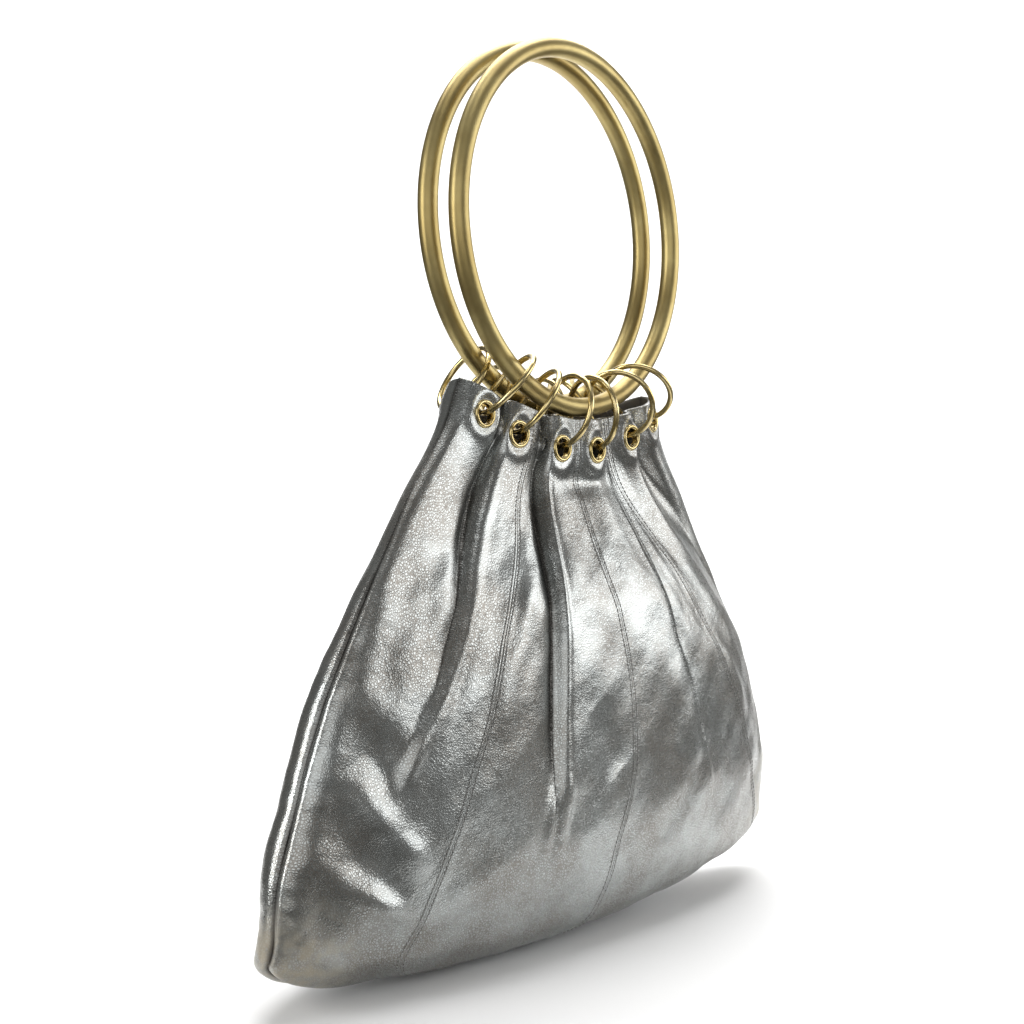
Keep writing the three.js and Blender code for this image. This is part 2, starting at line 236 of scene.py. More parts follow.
# Drag lines in the leather: start share and way down, end share and way down, half width, height
DRAGS = np.array([
    (-0.93, 0.58, -0.65, 0.74, 5.0, 1.9),
    (-0.95, 0.71, -0.68, 0.825, 5.0, 1.8),
    (-0.96, 0.83, -0.83, 0.92, 3.6, 1.2),
    (-0.93, 0.645, -0.70, 0.78, 5.0, -0.9),
    (-0.96, 0.46, -0.76, 0.54, 6.0, 1.2),
    (-0.90, 0.53, -0.74, 0.62, 5.0, -1.0),
    (-0.70, 0.47, -0.765, 0.60, 3.0, 1.8),
    (-0.27, 0.62, -0.30, 0.73, 3.0, 1.8),
    (-0.23, 0.60, -0.25, 0.72, 3.0, 1.4),
    (0.395, 0.60, 0.42, 0.71, 2.6, 1.2),
    (-0.12, 0.50, -0.02, 0.62, 7.0, -1.4),
    (0.28, 0.45, 0.36, 0.66, 7.0, 1.2),
    (0.60, 0.42, 0.72, 0.62, 7.0, 1.2),
    (-0.45, 0.30, -0.50, 0.55, 7.0, 1.0),
    (0.90, 0.60, 0.83, 0.74, 3.5, 0.8),
    (-0.24, 0.135, 0.36, 0.135, 5.0, -1.7),
])
DRAG_TAPER = (0.03, 0.97)

# Where the face turns under: share across, way down
TURN_UNDER = np.array([
    (-1, 0.8),
    (-0.7, 0.79),
    (-0.48, 0.745),
    (-0.17, 0.72),
    (0.24, 0.69),
    (0.7, 0.7),
    (1, 0.74),
])

# The two faces: half turn of the back as a sign, height of the handle's middle, further shift of the
# gathers, degrees that the rings hang further round, column of their twist in EYELETS, and the grid
Face = namedtuple("Face", "name turn handle_z gather hang_shift twist rows columns")
HANDLE_INSIDE = HANDLE_RADIUS - HANDLE_TUBE
FACES = (
    Face("front", 1, -HANDLE_INSIDE, 0, 0, 4, 300, (120, 170, 170, 120)),
    Face("back", -1, -HANDLE_INSIDE + 1.5, 5.8, 4.8, 5, 220, (84, 120, 120, 84)),
)

# Grid of the leather: every INNER_STEP-th row and column is on the inner face too, columns crowd at the
# seams, and rows lie by a table of place in the count and way down
INNER_STEP = 2
COLUMN_CROWDING = 0.6
ROW_PLACES = np.array([(0, 0), (0.03, 0.006), (0.12, 0.07), (0.8, 0.79), (1, 1)])


def ease(start, end, value):
    """Smooth step: 0 before start, 1 after end, and 3k^2 - 2k^3 of the way k between."""
    k = np.clip((value - start) / (end - start), 0, 1)
    return k * k * (3 - 2 * k)


def bell(value, width):
    """Bell curve: e to the power of minus the square of value over width."""
    return np.exp(-((value / width) ** 2))


def curve(table, column, at):
    """Cubic through a table's rows that never overshoots them: the slope at a row is the harmonic
    mean of the slopes of the two spans that meet there, and 0 at a peak."""
    xs, ys = table[:, 0], table[:, column]
    rise = np.diff(ys) / np.diff(xs)
    product = rise[:-1] * rise[1:]
    total = np.where(product > 0, rise[:-1] + rise[1:], 1)
    slope = np.concatenate([rise[:1], np.where(product > 0, 2 * product / total, 0), rise[-1:]])
    i = np.clip(np.searchsorted(xs, at, side="left") - 1, 0, len(xs) - 2)
    h = xs[i + 1] - xs[i]
    s = (at - xs[i]) / h
    start = ys[i] * (2 * s**3 - 3 * s**2 + 1) + slope[i] * h * (s**3 - 2 * s**2 + s)
    return start + ys[i + 1] * (3 * s**2 - 2 * s**3) + slope[i + 1] * h * (s**3 - s**2)


def ridge(shape, away):
    """A ridge or groove across a line: its height times a bell curve of its half width."""
    return shape.high * bell(away, shape.wide)


def fold_gate(fold, down):
    """How far open a fold is: a smooth step up where it opens and down where it closes."""
    return ease(*fold.opens, down) * (1 - ease(*fold.closes, down))


def fold_depths(share, down):
    """Depth of the folds pressed into a face, and the strength of the painted shade that darkens each
    point in a fold, from 0 to 1. From the left a fold deepens slowly to its line, then a steep wall comes
    up to a rolled lip."""
    depth = np.zeros_like(share)
    painted_shade = np.zeros_like(share)
    for fold in FOLDS:
        u = share - curve(fold.line, 1, down)
        gate = fold_gate(fold, down)
        slope = np.exp(-FOLD_SLOPE * np.abs(u / fold.left) ** FOLD_SLOPE_POWER)
        wall = bell(u, fold.right)
        valley = np.where(u < 0, slope, wall)
        lip, dip = (high * bell(u - at * fold.right, fold.right) for high, at in (FOLD_LIP, FOLD_LIP_DIP))
        depth = depth + fold.depth * gate * (valley - lip + dip)
        # Painted shade: dark on the long slope near the fold's line and on the wall, stronger in deeper
        # folds
        dark = min(fold.depth / FOLD_DARK_FROM_DEPTH, 1) * gate
        painted_shade = np.maximum(painted_shade, dark * np.where(u < 0, slope**3, wall**4))
    return depth, painted_shade


def hem_share(share, down):
    """Share across at which the hem's gathers are read, so that its pleats run on into the folds: the
    share moved by each fold's wander from its place at the hem, fading away from the fold and at the
    sides."""
    moved = share.copy()
    for fold in FOLDS:
        line = curve(fold.line, 1, down)
        moved = moved + (fold.line[0, 1] - line) * bell(share - line, HEM_PLEAT_REACH) * (1 - share**8)
    return moved


def side_seam_y(share, down):
    """How far forward the left side seam lies, and the right one back: a little at the hem, more down
    the body and nothing at the underside."""
    swell = ease(*SWELL, down)
    body = SIDE_SEAM_PULL * share * np.abs(share) ** SIDE_PULL_POWER * (1 - ease(*SIDE_PULL_FADES, down))
    return SIDE_SEAM_STAGGER * share * (1 - swell), body * swell


def half_width(face, share, down):
    """Half width of the body at a way down: the section's, and more at the bag's lower right corner,
    which is less round than the left one, by a power of the way to the underside."""
    way = np.clip((down - RIGHT_CORNER_FROM) / (1 - RIGHT_CORNER_FROM), 0, 1)
    wider = RIGHT_CORNER_WIDER * way**RIGHT_CORNER_POWER * ease(0, 1, face.turn * share)
    return curve(SECTIONS, 2, down) + wider


def leather(face, share, down):
    """A point of the smooth outer face, share across from -1 to 1 and down from 0 to 1. The width is
    the hem's gathered places spreading to even shares, the depth is the hem's waves swelling to a
    rounded section with the folds pressed in, and the height runs from the hem to the underside."""
    spread = ease(*SPREAD, down)
    swell = ease(*SWELL, down)
    at_hem = hem_share(share, down)
    hem_x = curve(HEM, 1, at_hem)
    gathered = hem_x + face.gather * (1 - share**4)
    x = half_width(face, share, down) * (gathered / HEM_HALF * (1 - spread) + share * spread)
    roundness = np.maximum(0, 1 - np.abs(share) ** SIDE_FULLNESS) ** SIDE_ROUNDING
    y = curve(HEM, 2, at_hem) * (1 - swell) - curve(SECTIONS, 3, down) * roundness * swell
    y = y + fold_depths(share, down)[0] + side_seam_y(share, down)[1]
    drop = curve(SECTIONS, 1, down)
    world_x = face.turn * x + BODY_OFFSET_X + BODY_LEAN * drop
    top = TOP_EDGE_Z + HEM_RISE * (hem_x / HEM_HALF) ** 2
    bottom = BOTTOM_Z + BOTTOM_RISE * (x / BOTTOM_REACH) ** 2 + BOTTOM_TILT * world_x / BOTTOM_REACH
    return np.stack([world_x, face.turn * y, top + (bottom - top) * drop], axis=-1)


def unit(vectors):
    """Vectors over their lengths."""
    return vectors / np.linalg.norm(vectors, axis=-1, keepdims=True)


def lie_of(face, share, down):
    """The point, the outward direction, and the millimetres to a share across and to the whole way
    down, from differences along the two parameters."""
    s0, s1 = np.maximum(share - SLOPE_STEP, -1), np.minimum(share + SLOPE_STEP, 1)
    d0, d1 = np.maximum(down - SLOPE_STEP, 0), np.minimum(down + SLOPE_STEP, 1)
    across = (leather(face, s1, down) - leather(face, s0, down)) / (s1 - s0)[..., None]
    along = (leather(face, share, d1) - leather(face, share, d0)) / (d1 - d0)[..., None]
    out = unit(np.cross(along, across))
    lengths = np.linalg.norm(across, axis=-1), np.linalg.norm(along, axis=-1)
    return leather(face, share, down), out, *lengths


def line_bells(share, down, table):
    """Sum of ridges along short straight lines of the flat leather: across a line a bell curve of its
    half width and height, tapered to nothing at both ends by a sine."""
    size = np.array([FLAT_HALF_WIDTH, FLAT_LENGTH])
    flat = np.stack([share, down], axis=-1) * size
    height = np.zeros_like(share)
    for s0, d0, s1, d1, width, high in table:
        start = np.array([s0, d0]) * size
        way = np.array([s1, d1]) * size - start
        length = np.hypot(*way)
        along = np.clip((flat - start) @ way / length**2, 0, 1)
        away = np.linalg.norm(flat - start - along[..., None] * way, axis=-1)
        taper = np.sqrt(np.maximum(np.sin(np.pi * np.clip(along, *DRAG_TAPER)), 0))
        height = height + high * taper * bell(away, width)
    return height


def relief(face, share, down, across_mm, along_mm):
    """Height of the fine shape on the smooth face: the seams' grooves and raised allowances, the side
    seams' valley and puckered pad, the doubled hem, the edge where the face turns under, drag lines
    and a slow unevenness. With it, the strength of the painted shade in the seams, stitch rows, the
    crease and the side seams."""
    height = np.zeros_like(share)
    painted_shade = np.zeros_like(share)
    for column in (1, 2, 3):
        away = (share - curve(SEAMS, column, down)) * across_mm
        rows_away = np.abs(away) - STITCH_ROW
        height += ridge(SEAM_SWELL, away) + ridge(SEAM_LINE, away) + ridge(STITCH_GROOVE, rows_away)
        # Painted shade along the seam line and in the stitch rows
        shade = SEAM_SHADE * bell(away, SEAM_LINE.wide) + STITCH_SHADE * bell(rows_away, STITCH_GROOVE.wide)
        painted_shade = np.maximum(painted_shade, shade)
    away = (share - curve(CREASE.line, 1, down)) * across_mm
    height += fold_gate(CREASE, down) * ridge(CREASE_LINE, away)
    # Painted shade along the crease
    painted_shade = np.maximum(painted_shade, CREASE_SHADE * fold_gate(CREASE, down) * bell(away, CREASE_LINE.wide))

    edge = leather(face, np.sign(share), down)
    inset = np.linalg.norm(leather(face, share, down) - edge, axis=-1)
    length = down * FLAT_LENGTH
    pucker = np.sin(length * 0.55) * np.sin(length * 0.21 + 1.0) + 0.5 * np.sin(length * 0.93 + 2.0)
    padded = ease(*SIDE_PAD_OPENS, down) * (1 - ease(*SIDE_PAD_CLOSES, down))
    height += padded * (SIDE_PAD.high + SIDE_PUCKER * pucker) * bell(inset - SIDE_PAD_INSET, SIDE_PAD.wide)
    height += (SIDE_VALLEY.high - SIDE_VALLEY_DEEPER * padded) * bell(inset, SIDE_VALLEY.wide)
    # Painted shade in the side seams' valley
    painted_shade = np.maximum(painted_shade, SIDE_SHADE * bell(inset, SIDE_SHADE_WIDE))

    height += HEM_DOUBLED * (1 - ease(*HEM_DOUBLED_EDGE, down * along_mm))
    under = down - curve(TURN_UNDER, 1, share)
    height += ridge(TURN_RIDGE, under) + ridge(TURN_DIP, under - TURN_DIP_BELOW)
    height += line_bells(share, down, DRAGS)
    slow = np.sin(share * 21 + 3 * np.sin(down * 9)) * np.sin(down * 17 + 2.2 * share)
    quick = np.sin(share * 47 + down * 23) * np.sin(down * 51 - share * 13 + 1)
    height += ease(*UNEVEN_OPENS, down) * (UNEVEN * slow + UNEVEN_FINE * quick)
    return height, painted_shade


def kept_clear(face, points, share, down):
    """Points with Y held on the face's own side of where front and back meet at the sides."""
    limit = sum(side_seam_y(share, down)) - GAP / 2
    kept = points.copy()
    kept[..., 1] = face.turn * np.minimum(face.turn * kept[..., 1], limit)
    return kept


def eyelet_places(face):
    """Middle and axis of each eyelet: the leather's middle layer at its share across and way down, and
    the outward direction there."""
    point, out, _, _ = lie_of(face, EYELETS[:, 0], EYELETS[:, 1])
    return point - out * (WALL / 2), out


def seated(points, eyelets, height):
    """Points pressed flat round each eyelet, at a height along its axis that eases out to the leather,
    with a soft swelling just outside the flange."""
    for middle, axis in zip(*eyelets):
        offset = points - middle
        rise = offset @ axis
        radius = np.linalg.norm(offset - rise[..., None] * axis, axis=-1)
        near = 1 - ease(*SEAT_REACH, np.abs(rise))
        flat = (1 - ease(EYELET_FLANGE, EYELET_FLANGE + SEAT_EASE, radius)) * near
        swelling = ridge(SEAT_SWELL, radius - SEAT_SWELL_RADIUS) * near * np.sign(height)
        points = points + ((height - rise) * flat + np.maximum(swelling, 0))[..., None] * axis
    return points


def walls(face, share, down, eyelets):
    """Outer and inner points of the leather and the painted shade of each outer point in a fold or seam.
    The outer face is the smooth face plus its relief, the inner face is a wall's thickness inside, and
    both roll together at the hem in a half circle."""
    point, out, across_mm, along_mm = lie_of(face, share, down)
    height, painted_shade = relief(face, share, down, across_mm, along_mm)
    roll = WALL / 2
    back = roll - np.sqrt(roll**2 - (roll - np.minimum(down * along_mm, roll)) ** 2)
    outer = seated(point + out * (height - back)[..., None], eyelets, WALL / 2)
    inner = seated(point - out * (WALL - back - np.minimum(height, 0))[..., None], eyelets, -WALL / 2)
    painted_shade = np.maximum(painted_shade, fold_depths(share, down)[1])
    return kept_clear(face, outer, share, down), kept_clear(face, inner, share, down), painted_shade


def grid_faces(rows, columns, row_loop=False, column_loop=False):
    """Corner numbers of the quads of a grid of points, joined round where a side is a loop."""
    i = np.arange(rows if row_loop else rows - 1)[:, None]
    j = np.arange(columns if column_loop else columns - 1)[None, :]
    at = lambda a, b: (a % rows) * columns + b % columns
    return np.stack([at(i, j), at(i + 1, j), at(i + 1, j + 1), at(i, j + 1)], axis=-1).reshape(-1, 4)


def shell_faces(rows, columns, keep):
    """Faces of a wall with an outer grid and an inner grid of every INNER_STEP-th row and column. keep
    says which inner cells are there. Each open side of a kept cell is closed by one narrow face."""
    step = INNER_STEP
    outer = np.arange((rows + 1) * (columns + 1)).reshape(rows + 1, columns + 1)
    inner = outer.size + np.arange((rows // step + 1) * (columns // step + 1))
    inner = inner.reshape(rows // step + 1, columns // step + 1)
    fine = np.repeat(np.repeat(keep, step, axis=0), step, axis=1)
    i, j = np.nonzero(fine)
    outside = np.stack([outer[i, j], outer[i + 1, j], outer[i + 1, j + 1], outer[i, j + 1]], axis=-1)
    a, b = np.nonzero(keep)
    inside = np.stack([inner[a, b], inner[a, b + 1], inner[a + 1, b + 1], inner[a + 1, b]], axis=-1)

    around = np.pad(keep, 1)
    run = np.arange(step + 1)[None, :]
    rims = []
    a, b = (v[:, None] for v in np.nonzero(keep & ~around[:-2, 1:-1]))
    edge = outer[a * step, b * step + run]
    rims.append(np.hstack([edge, inner[a, b + 1], inner[a, b]]))
    a, b = (v[:, None] for v in np.nonzero(keep & ~around[2:, 1:-1]))
    edge = outer[a * step + step, b * step + step - run]
    rims.append(np.hstack([edge, inner[a + 1, b], inner[a + 1, b + 1]]))
    a, b = (v[:, None] for v in np.nonzero(keep & ~around[1:-1, :-2]))
    edge = outer[a * step + step - run, b * step]
    rims.append(np.hstack([edge, inner[a, b], inner[a + 1, b]]))
    a, b = (v[:, None] for v in np.nonzero(keep & ~around[1:-1, 2:]))
    edge = outer[a * step + run, b * step + step]
    rims.append(np.hstack([edge, inner[a + 1, b + 1], inner[a, b + 1]]))
    return outside, inside, np.vstack(rims)


def add_piece(name, points, faces, materials, body, replaces=(), painted_shade=None):
    """A mesh from points in millimetres and arrays of faces, one array for each material in turn. Points
    that no face uses are dropped. The painted shade of each point, where given, is kept on the points
    for the material to read as a darkening of its colour."""
    used, flat = np.unique(np.concatenate([f.ravel() for f in faces]), return_inverse=True)
    sizes = np.concatenate([np.full(len(f), f.shape[1]) for f in faces])
    finish = np.concatenate([np.full(len(f), i) for i, f in enumerate(faces)])
    mesh = bpy.data.meshes.new(name)
    mesh.vertices.add(len(used))
    mesh.vertices.foreach_set("co", (points[used] * MM).astype(np.float32).ravel())
    mesh.loops.add(len(flat))
    mesh.loops.foreach_set("vertex_index", flat.astype(np.int32))
    mesh.polygons.add(len(sizes))
    starts = np.concatenate([[0], np.cumsum(sizes)[:-1]])
    mesh.polygons.foreach_set("loop_start", starts.astype(np.int32))
    finish = np.minimum(finish, len(materials) - 1)
    mesh.polygons.foreach_set("material_index", finish.astype(np.int32))
    mesh.polygons.foreach_set("use_smooth", np.ones(len(sizes), dtype=bool))
    if painted_shade is not None:
        layer = mesh.attributes.new("painted_shade", "FLOAT", "POINT")
        layer.data.foreach_set("value", painted_shade[used].astype(np.float32))
    mesh.update(calc_edges=True)
    mesh.validate()
    for material in materials:
        mesh.materials.append(material)
    piece = bpy.data.objects.new(name, mesh)
    bpy.context.scene.collection.objects.link(piece)
    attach(piece, body)
    if replaces:
        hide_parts(*replaces)


def spaced(count, crowding):
    """count + 1 places from 0 to 1, nearer together at both ends: t less a sine wave of it."""
    t = np.linspace(0, 1, count + 1)
    return t - crowding * np.sin(2 * np.pi * t) / (2 * np.pi)


def row_places(rows):
    """Places down the leather: close at the rolled hem, even over the body."""
    return np.interp(np.linspace(0, 1, rows + 1), *ROW_PLACES.T)


def seam_share(number, down):
    """Share across of a gore's edge: the sides are -1 and 1, and the seams follow their table."""
    if number == 0 or number == 4:
        return np.full_like(down, -1.0 if number == 0 else 1.0)
    return curve(SEAMS, number, down)


def add_gore(face, number, eyelets, materials):
    """One gore: the wall between two seams on a grid, with a round hole pressed into the grid at each
    eyelet: the cells inside are left out, and the corners round them move onto a circle."""
    rows, columns = face.rows, face.columns[number]
    down = row_places(rows)[:, None] * np.ones((1, columns + 1))
    left, right = seam_share(number, down), seam_share(number + 1, down)
    share = left + (right - left) * spaced(columns, COLUMN_CROWDING)[None, :]
    outer, inner, painted_shade = walls(face, share, down, eyelets)

    step = INNER_STEP
    cells = outer[step // 2::step, step // 2::step][: rows // step, : columns // step]
    keep = np.ones(cells.shape[:2], dtype=bool)
    for middle, axis in zip(*eyelets):
        away = np.linalg.norm(np.cross(cells - middle, axis), axis=-1)
        keep &= (away > LEATHER_HOLE) | (np.abs((cells - middle) @ axis) > 2 * LEATHER_HOLE)
    gone = np.pad(~np.repeat(np.repeat(keep, step, axis=0), step, axis=1), 1)
    touched = gone[:-1, :-1] | gone[1:, :-1] | gone[:-1, 1:] | gone[1:, 1:]
    for middle, axis in zip(*eyelets):
        for wall in (outer, inner):
            offset = wall - middle
            rise = (offset @ axis)[..., None] * axis
            flat = offset - rise
            radius = np.linalg.norm(flat, axis=-1, keepdims=True)
            near = np.linalg.norm(offset, axis=-1, keepdims=True) < 2 * LEATHER_HOLE
            circle = middle + rise + flat / np.maximum(radius, 1e-6) * LEATHER_HOLE
            wall[:] = np.where(touched[..., None] & near, circle, wall)

    points = np.concatenate([outer.reshape(-1, 3), inner[::step, ::step].reshape(-1, 3)])
    painted_shade = np.concatenate([painted_shade.ravel(), painted_shade[::step, ::step].ravel()])
    outside, inside, rims = shell_faces(rows, columns, keep)
    name = f"{face.name}_gore_{number + 1}"
    add_piece(f"{name}_leather", points, [outside, inside, rims], materials, "bag", [name], painted_shade)


def torus(centre, first, second, ring, tube, around, sides):
    """A tube bent round a circle: the circle's points plus the tube's circle in the plane of the radius
    and the ring's axis. Gives the points and faces of a grid that is a loop both ways."""
    u = np.linspace(0, 2 * np.pi, around, endpoint=False)[:, None, None]
    v = np.linspace(0, 2 * np.pi, sides, endpoint=False)[None, :, None]
    radial = np.cos(u) * first + np.sin(u) * second
    points = centre + (ring + tube * np.cos(v)) * radial + tube * np.sin(v) * np.cross(first, second)
    return points.reshape(-1, 3), grid_faces(around, sides, True, True)


def half_round(start, end, bulge, count):
    """Points of half an ellipse from start to end, standing out by bulge along the height."""
    t = np.linspace(0, np.pi, count)
    middle, half = (start + end) / 2, (end - start) / 2
    return np.stack([middle[0] - half[0] * np.cos(t), middle[1] + bulge * np.sin(t)], axis=-1)


def eyelet(middle, axis):
    """A spool turned round its axis: barrel, rolled front rim, bore and rolled back rim as one loop."""
    seat = WALL / 2
    lip, edge = np.array([EYELET_HOLE, seat]), np.array([EYELET_FLANGE, seat])
    front = half_round(edge, lip, EYELET_ROLL, EYELET_FRONT_POINTS)
    rear = half_round(lip * (1, -1), edge * (1, -1), -EYELET_ROLL, EYELET_REAR_POINTS)
    barrel = np.array([(EYELET_BARREL, -seat), (EYELET_BARREL, seat)])
    profile = np.concatenate([barrel, front, rear])
    first = unit(np.cross(axis, [1.0, 0, 0]))
    second = np.cross(axis, first)
    u = np.linspace(0, 2 * np.pi, EYELET_AROUND, endpoint=False)[:, None, None]
    radial = np.cos(u) * first + np.sin(u) * second
    points = middle + profile[None, :, :1] * radial + profile[None, :, 1:] * axis
    return points.reshape(-1, 3), grid_faces(EYELET_AROUND, len(profile), True, True)


def turned(x, y):
    """X and Y turned about the upright axis by the handles' yaw."""
    c, s = math.cos(HANDLE_YAW), math.sin(HANDLE_YAW)
    return x * c - y * s, x * s + y * c


def ring_frames(face, eyelets):
    """Centre and two directions of each small ring: the first from its place in front of the handle's
    tube to its eyelet, the second across it towards Y and turned round the first by the ring's twist.
    The wire bears on the upper edge of the eyelet's hole."""
    angle = face.turn * np.radians(EYELETS[:, 3] + face.hang_shift)
    x, y = turned(HANDLE_RADIUS * np.sin(angle), -face.turn * (HANDLE_SPACING / 2 + RING_FORWARD))
    hang = np.stack([x, y, face.handle_z - HANDLE_RADIUS * np.cos(angle)], axis=-1)
    pull = unit(eyelets[0] - hang)
    level = unit(np.array([0, 1, 0]) - pull * pull[:, 1:2])
    twist = np.radians(EYELETS[:, face.twist, None])
    across = level * np.cos(twist) + np.cross(pull, level) * np.sin(twist)
    seat = EYELET_HOLE - RING_WIRE - EYELETS[:, 2, None]
    return eyelets[0] - pull * (seat + RING_RADIUS), pull, across


def add_fittings(face, eyelets, handle_metal, ring_metal):
    """The face's handle, and for each eyelet its spool and the wire ring that joins it to the handle."""
    centre = np.array([*turned(0, -face.turn * HANDLE_SPACING / 2), face.handle_z])
    level, up = np.array([*turned(1, 0), 0]), np.array([0, 0, 1])
    points, faces = torus(centre, level, up, HANDLE_RADIUS, HANDLE_TUBE, *HANDLE_GRID)
    handle = f"{face.name}_handle"
    add_piece(f"{handle}_tube", points, [faces], [handle_metal], handle, [handle])
    places = zip(*eyelets, *ring_frames(face, eyelets))
    for i, (middle, axis, centre, pull, across) in enumerate(places, 1):
        points, faces = eyelet(middle, axis)
        name = f"{face.name}_eyelet_{i}"
        add_piece(f"{name}_spool", points, [faces], [ring_metal], "bag", [name])
        points, faces = torus(centre, pull, across, RING_RADIUS, RING_WIRE, *RING_GRID)
        name = f"{face.name}_ring_{i}"
        add_piece(f"{name}_wire", points, [faces], [ring_metal], "bag", [name])


def thread_shape():
    """One stitch lying along X: a spindle of rings between two tips."""
    angle = np.linspace(0, 2 * np.pi, STITCH_SIDES, endpoint=False)
    place, thick = STITCH_RINGS[:, :1] * STITCH_LENGTH, STITCH_RINGS[:, 1:] * STITCH_THREAD
    rings = np.stack([place + 0 * angle, thick * np.cos(angle), thick * np.sin(angle)], axis=-1)
    tips = np.array([(-STITCH_LENGTH / 2, 0, 0), (STITCH_LENGTH / 2, 0, 0)])
    points = np.concatenate([rings.reshape(-1, 3), tips])
    turn = np.arange(STITCH_SIDES)
    on = (turn + 1) % STITCH_SIDES
    tip = np.full(STITCH_SIDES, rings[..., 0].size)
    last_ring = rings[:-1, :, 0].size
    sides = grid_faces(len(STITCH_RINGS), STITCH_SIDES, False, True)
    first = np.stack([tip, on, turn], axis=-1)
    last = np.stack([tip + 1, turn + last_ring, on + last_ring], axis=-1)
    return points, sides[:, ::-1], first[:, ::-1], last[:, ::-1]


def add_stitching(face, eyelets, thread):
    """Two rows of stitches beside each seam: even steps of length along the seam, each stitch laid in
    the leather's own frame there."""
    shape, sides, first, last = thread_shape()
    places = []
    for column in (1, 2, 3):
        down = np.linspace(*STITCH_ENDS, STITCH_SAMPLES)
        share = curve(SEAMS, column, down)
        line = leather(face, share, down)
        length = np.concatenate([[0], np.cumsum(np.linalg.norm(np.diff(line, axis=0), axis=1))])
        down = np.interp(np.arange(STITCH_PITCH, length[-1], STITCH_PITCH), length, down)
        for side in (-1, 1):
            share = curve(SEAMS, column, down)
            places.append((share + side * STITCH_ROW / lie_of(face, share, down)[2], down))
    share = np.concatenate([p[0] for p in places])
    down = np.concatenate([p[1] for p in places])
    middle = walls(face, share, down, eyelets)[0]
    out = lie_of(face, share, down)[1]
    ahead = walls(face, share, np.minimum(down + STITCH_AHEAD, 1), eyelets)[0] - middle
    along = unit(ahead - (ahead * out).sum(-1, keepdims=True) * out)
    across = np.cross(out, along)
    laid = np.stack([along, across, out], axis=1)
    points = (middle + out * STITCH_RAISED)[:, None, :] + np.einsum("pk,nkc->npc", shape, laid)
    shift = np.arange(len(middle))[:, None, None] * len(shape)
    faces = [(f[None] + shift).reshape(-1, f.shape[1]) for f in (sides, first, last)]
    add_piece(f"{face.name}_stitching", points.reshape(-1, 3), faces, [thread], "bag")


class Socket:
    """A value in a material's nodes. Sums, differences and products of it add Math nodes."""

    def __init__(self, tree, socket=None):
        self.tree = tree
        self.socket = socket

    def node(self, kind, settings=None, inputs=None, output=0):
        """Any node: its settings first, then values or links of its sockets."""
        made = self.tree.nodes.new(kind)
        for key, value in (settings or {}).items():
            setattr(made, key, value)
        for key, value in (inputs or {}).items():
            if isinstance(value, Socket):
                self.tree.links.new(value.socket, made.inputs[key])
            else:
                made.inputs[key].default_value = value
        return Socket(self.tree, made.outputs[output])

    def _math(self, operation, *values, clamp=False):
        settings = {"operation": operation, "use_clamp": clamp}
        return self.node("ShaderNodeMath", settings, dict(enumerate(values)))

    def __add__(self, other):
        return self._math("ADD", self, other)

    def __sub__(self, other):
        return self._math("SUBTRACT", self, other)

    def __mul__(self, other):
        return self._math("MULTIPLY", self, other)

    def __rsub__(self, other):
        return self._math("SUBTRACT", other, self)

    __radd__ = __add__
    __rmul__ = __mul__

    def clamped(self):
        return self._math("ADD", self, 0.0, clamp=True)

    def smooth(self, start, end):
        """0 before start, 1 after end, and a smooth step between."""
        settings = {"interpolation_type": "SMOOTHSTEP"}
        values = {"Value": self, "From Min": start, "From Max": end}
        return self.node("ShaderNodeMapRange", settings, values)

    def mixed(self, low, high):
        """A colour between low and high by this value."""
        settings = {"data_type": "RGBA", "clamp_factor": True}
        return self.node("ShaderNodeMix", settings, {0: self, 6: low, 7: high}, 2)


def new_finish(name, **constants):
    """A material with its shader's constant sockets set, and a start for its nodes."""
    material = bpy.data.materials.new(name)
    material.use_nodes = True
    tree = material.node_tree
    shader = tree.nodes["Principled BSDF"]
    for key, value in constants.items():
        shader.inputs[key.replace("_", " ")].default_value = value
    here = Socket(tree)
    place = here.node("ShaderNodeTexCoord", output="Object")

    def feed(key, value):
        tree.links.new(value.socket, shader.inputs[key])

    return material, here, place, feed


def noise(here, place, scale, detail=2.0, rough=0.5):
    """Cloudy noise with this many grains to the metre."""
    inputs = {"Vector": place, "Scale": scale, "Detail": detail, "Roughness": rough}
    return here.node("ShaderNodeTexNoise", None, inputs)


def metres_from(spot, here, place):
    """Metres from a fixed spot."""
    return here.node("ShaderNodeVectorMath", {"operation": "DISTANCE"}, {0: place, 1: spot}, "Value")


def bumped(here, height, strength, distance, below=None):
    """A direction tilted by a height, on top of another where one is given."""
    inputs = {"Strength": strength, "Distance": distance, "Height": height}
    if below:
        inputs["Normal"] = below
    return here.node("ShaderNodeBump", None, inputs)


# Middles of the worn lower corners, in metres
LEFT_WORN = (-0.152, -0.006, -0.338)
RIGHT_WORN = (0.14, -0.015, -0.318)


